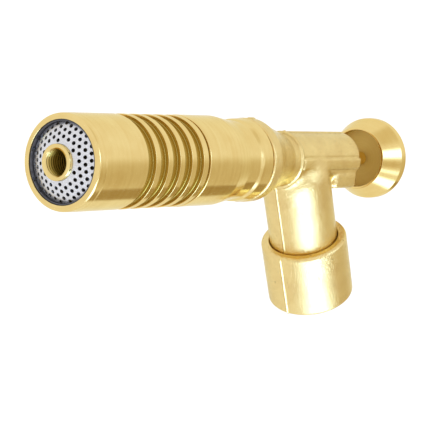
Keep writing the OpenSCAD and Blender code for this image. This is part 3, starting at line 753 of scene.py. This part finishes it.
# Inlet socket: distances are heights above its mouth, and a thin groove is left where it meets the stem
socket = {"radius": 15.5, "height": 24.4, "thread": 12.1, "threadEnd": 9.5, "relief": 12.55, "depth": 16.0,
          "floorTop": 18.0, "hole": 4.5, "seat": 12.25, "seam": 0.35, "seamDepth": 0.8, "base": 1.8, "top": 3.0,
          "pitch": 1.27, "threadDepth": 0.55, "flash": 1.2, "skinStart": 0.9, "skinFull": 1.6, "seamShade": 0.3}
r = socket["radius"]
corners = [(socket["relief"] + 0.3, 0, 0.2), (r, 0, socket["base"]), (r, socket["height"], socket["top"]),
           (socket["seat"] + socket["seam"], socket["height"], 0.35),
           (socket["seat"], socket["height"] - socket["seamDepth"], 0.1), (socket["seat"], socket["floorTop"]),
           (socket["hole"], socket["floorTop"]), (socket["hole"], socket["depth"]),
           (socket["relief"], socket["depth"], 0.2), (socket["relief"], socket["threadEnd"], 0.1)]
outline = softOutline(corners, arcSteps=8)
threadWall = threadedWall(socket["thread"], socket["threadEnd"] - 0.1, 0.5, socket["pitch"])
outline = np.concatenate([outline, threadWall])
socketThread = innerThread(socket["pitch"], socket["threadDepth"], socket["thread"], 0.4, socket["threadEnd"])


# Outside of the socket: the cast waves and the moulding line raise the radius, and inside is the thread
def socketShift(angle, radius, distance):
    points = np.stack([radius * np.cos(angle), radius * np.sin(angle), distance], -1)
    raised = castWaves(points, casting["waves"])
    raised = raised + casting["flash"] * socket["flash"] * np.exp(-(points[..., 1] / casting["flashWidth"]) ** 2)
    outside = softStep(radius, socket["seat"] + socket["skinStart"], socket["seat"] + socket["skinFull"])
    return raised * outside + socketThread(angle, radius, distance)


# painted shade darkens the thin groove where the socket meets the stem
inSeam = (outline[:, 0] < socket["seat"] + 0.55) & (outline[:, 1] > socket["floorTop"])
paintedShade = np.where(inSeam, socket["seamShade"], 0)
placePiece(turnedPiece("inletSocket", outline, *stemAxis, 288, shift=socketShift, paintedShade=paintedShade, fine=True),
           ["inlet_socket"], "cast_brass")

# The CAD nodes that are shown as they are
for name, node in nodes.items():
    if not node.hide_render:
        node.data.materials.clear()
        node.data.materials.append(finishes[slotOf[name]])
print("pieces done")

# Stage: one pale matt floor
stageLook = {"floorDrop": 0.5, "floorSize": 12.0, "floor": "#F4F4F2"}
floorMesh = bpy.data.meshes.new("paleFloor")
half, drop = stageLook["floorSize"] / 2, -stageLook["floorDrop"]
floorMesh.from_pydata([(-half, -half, drop), (half, -half, drop), (half, half, drop), (-half, half, drop)], [],
                      [(0, 1, 2, 3)])
floor = bpy.data.objects.new("paleFloor", floorMesh)
bpy.context.scene.collection.objects.link(floor)
floorPaint, tree, shader = newFinish("matt white paint", Roughness=0.9)
shader.inputs["Base Color"].default_value = linear(stageLook["floor"])
floorMesh.materials.append(floorPaint)
floor.visible_glossy = False  # polished metal mirrors the studio round it instead

# The studio that the metal mirrors: a pale room with soft boxes and dark cards at these directions, each given by
# azimuth from +X towards +Y, elevation, the half-angle it fills, the half-angle where it ends, and its change
studio = {"room": 0.97, "floorLight": 1.25, "cardTint": (1.0, 1.33, 2.2), "boxTint": (0.35, 0.6, 1.0),
          "boxes": [(50, -35, 17, 23, 6), (107, 14, 8, 14, 4), (88, -27, 3, 7, 3), (78, -56, 7, 14, 4)],
          "cards": [(138, -36, 10, 28, 0.28), (114, -32, 6, 20, 0.2), (172, -32, 6, 18, 0.1),
                    (159, -63, 9, 12, 0.55), (95, -9, 6, 12, 0.3), (150, 43, 12, 28, 0.16)]}
world = bpy.data.worlds.new("soft studio")
world.use_nodes = True
bpy.context.scene.world = world
tree = world.node_tree
tree.nodes.clear()
direction = addNode(tree, "ShaderNodeTexCoord").outputs["Generated"]


# 1 within the filled angle of a direction, falling to 0 where it ends
def patchOf(azimuth, elevation, filled, ends):
    a, e = math.radians(azimuth), math.radians(elevation)
    aim = (math.cos(e) * math.cos(a), math.cos(e) * math.sin(a), math.sin(e))
    dot = addNode(tree, "ShaderNodeVectorMath", {"operation": "DOT_PRODUCT", 1: aim}, {0: direction})
    return addNode(tree, "ShaderNodeMapRange", {"interpolation_type": "SMOOTHSTEP",
                                                "From Min": math.cos(math.radians(ends)),
                                                "From Max": math.cos(math.radians(filled))},
                   {"Value": dot.outputs["Value"]}).outputs["Result"]


# Cards multiply one shade, which each colour then takes to its own power, so that darker also means warmer
shade = addNode(tree, "ShaderNodeValue").outputs[0]
shade.default_value = 1.0
for azimuth, elevation, filled, ends, gain in studio["cards"]:
    kept = addNode(tree, "ShaderNodeMath", {"operation": "MULTIPLY_ADD", 1: -gain, 2: 1.0},
                   {0: patchOf(azimuth, elevation, filled, ends)})
    shade = addNode(tree, "ShaderNodeMath", {"operation": "MULTIPLY"}, {0: kept.outputs[0], 1: shade}).outputs[0]
powers = [addNode(tree, "ShaderNodeMath", {"operation": "POWER", 1: k}, {0: shade}).outputs[0]
          for k in studio["cardTint"]]
level = addNode(tree, "ShaderNodeCombineXYZ", {}, dict(enumerate(powers))).outputs[0]
level = addNode(tree, "ShaderNodeVectorMath", {"operation": "MULTIPLY", 1: (studio["room"],) * 3},
                {0: level}).outputs[0]
for azimuth, elevation, filled, ends, gain in studio["boxes"]:
    patch = patchOf(azimuth, elevation, filled, ends)
    level = addNode(tree, "ShaderNodeVectorMath", {"operation": "MULTIPLY_ADD",
                                                   1: [gain * k for k in studio["boxTint"]]},
                    {0: patch, 2: level}).outputs[0]
rays = addNode(tree, "ShaderNodeLightPath")
strength = addNode(tree, "ShaderNodeMix", {"data_type": "RGBA", 6: (studio["floorLight"],) * 3 + (1,)},
                   {0: rays.outputs["Is Glossy Ray"], 7: level})
background = addNode(tree, "ShaderNodeBackground", {}, {"Color": strength.outputs[2]})
addNode(tree, "ShaderNodeOutputWorld", {}, {"Surface": background.outputs["Background"]})
world.cycles.sampling_method = "NONE"
bpy.context.scene.view_settings.view_transform = "Standard"

# Camera: lens and sensor in mm, the rest in metres and degrees
cameraLook = {"aim": (0.02548, -0.01802, 0.04385), "azimuth": 40.585, "elevation": 30.684, "roll": 9.375,
              "distance": 0.562, "lens": 133.95, "sensor": 36, "nearest": 0.01}
a, e, roll = (math.radians(cameraLook[key]) for key in ("azimuth", "elevation", "roll"))
towards = Vector((math.cos(e) * math.cos(a), math.cos(e) * math.sin(a), math.sin(e)))
right = Vector((0, 0, 1)).cross(towards).normalized()
up = towards.cross(right)
right, up = right * math.cos(roll) - up * math.sin(roll), up * math.cos(roll) + right * math.sin(roll)
camera = bpy.data.objects.new("camera", bpy.data.cameras.new("camera"))
bpy.context.scene.collection.objects.link(camera)
camera.data.lens, camera.data.sensor_width = cameraLook["lens"], cameraLook["sensor"]
camera.data.clip_start = cameraLook["nearest"]
place = Matrix((right, up, towards)).transposed().to_4x4()
place.translation = Vector(cameraLook["aim"]) + towards * cameraLook["distance"]
camera.matrix_world = place
bpy.context.scene.camera = camera

print("scene ready")
